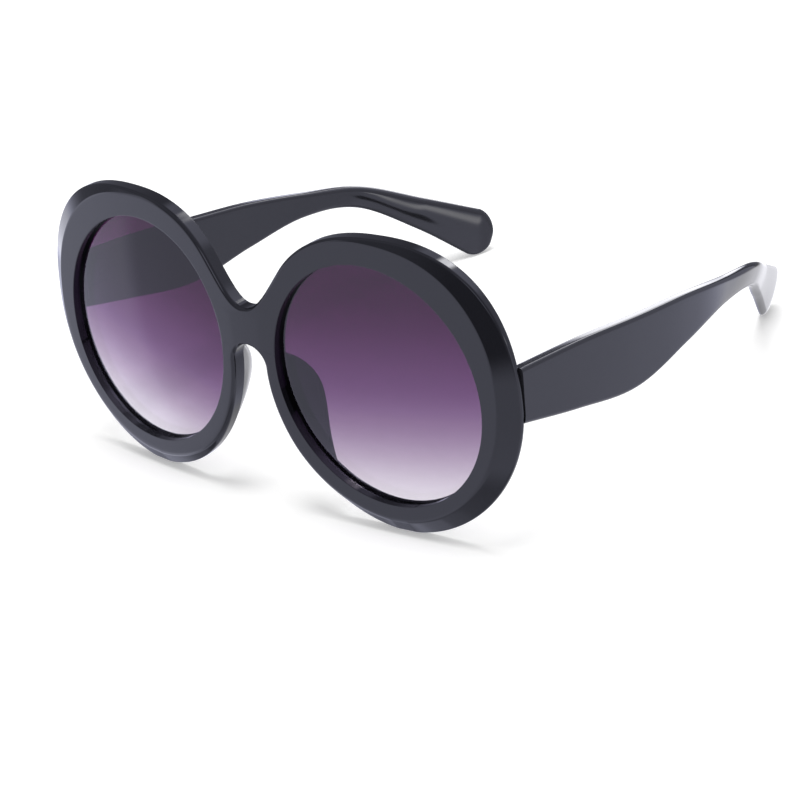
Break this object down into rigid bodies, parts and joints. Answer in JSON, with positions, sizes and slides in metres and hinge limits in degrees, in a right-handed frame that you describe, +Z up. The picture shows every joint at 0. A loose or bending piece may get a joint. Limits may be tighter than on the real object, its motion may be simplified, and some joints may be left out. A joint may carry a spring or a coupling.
{
  "type": "sunglasses",
  "caption": "Oversized round sunglasses with a bevelled dark plastic front, gradient lenses, moulded nose pads and broad folding temples.",
  "frame": {"origin": "on the table, below the middle of the whole object's width and depth", "axes": "+Z up; -Y the way the lenses face, with the temples running towards +Y; +X the wearer's left, which is the right side seen from in front"},
  "size_m": [0.1452, 0.1572, 0.0729],
  "materials": {
    "front_plastic": "polished, nearly black",
    "temple_plastic": "polished, nearly black",
    "pad_plastic": "polished, nearly black",
    "tinted_lens": "plum at the top, fading to nearly clear at the bottom",
    "core_wire": "plain drawn wire",
    "hinge_metal": "black plated, satin",
    "screw_metal": "black plated, smooth"
  },
  "bodies": {
    "front": {"front_frame": "front_plastic", "lens_left": "tinted_lens", "lens_right": "tinted_lens", "nose_pad_left": "pad_plastic", "nose_pad_right": "pad_plastic", "hinge_front_leaf_left": "hinge_metal", "hinge_front_leaf_right": "hinge_metal", "hinge_screw_left": "screw_metal", "hinge_screw_right": "screw_metal", "front_leaf_screws_left": "screw_metal", "front_leaf_screws_right": "screw_metal"},
    "temple_left": {"temple_left": "temple_plastic", "temple_core_left": "core_wire", "hinge_temple_leaf_left": "hinge_metal", "temple_leaf_screws_left": "screw_metal"},
    "temple_right": {"temple_right": "temple_plastic", "temple_core_right": "core_wire", "hinge_temple_leaf_right": "hinge_metal", "temple_leaf_screws_right": "screw_metal"}
  },
  "joints": [
    {"name": "temple_fold_left", "type": "hinge", "parent": "front", "child": "temple_left", "pos_m": [0.0673, -0.06603, 0.0397], "axis": [0, 0, 1], "range_deg": [0, 84.5]},
    {"name": "temple_fold_right", "type": "hinge", "parent": "front", "child": "temple_right", "pos_m": [-0.0673, -0.06603, 0.0397], "axis": [0, 0, -1], "range_deg": [0, 72]}
  ]
}
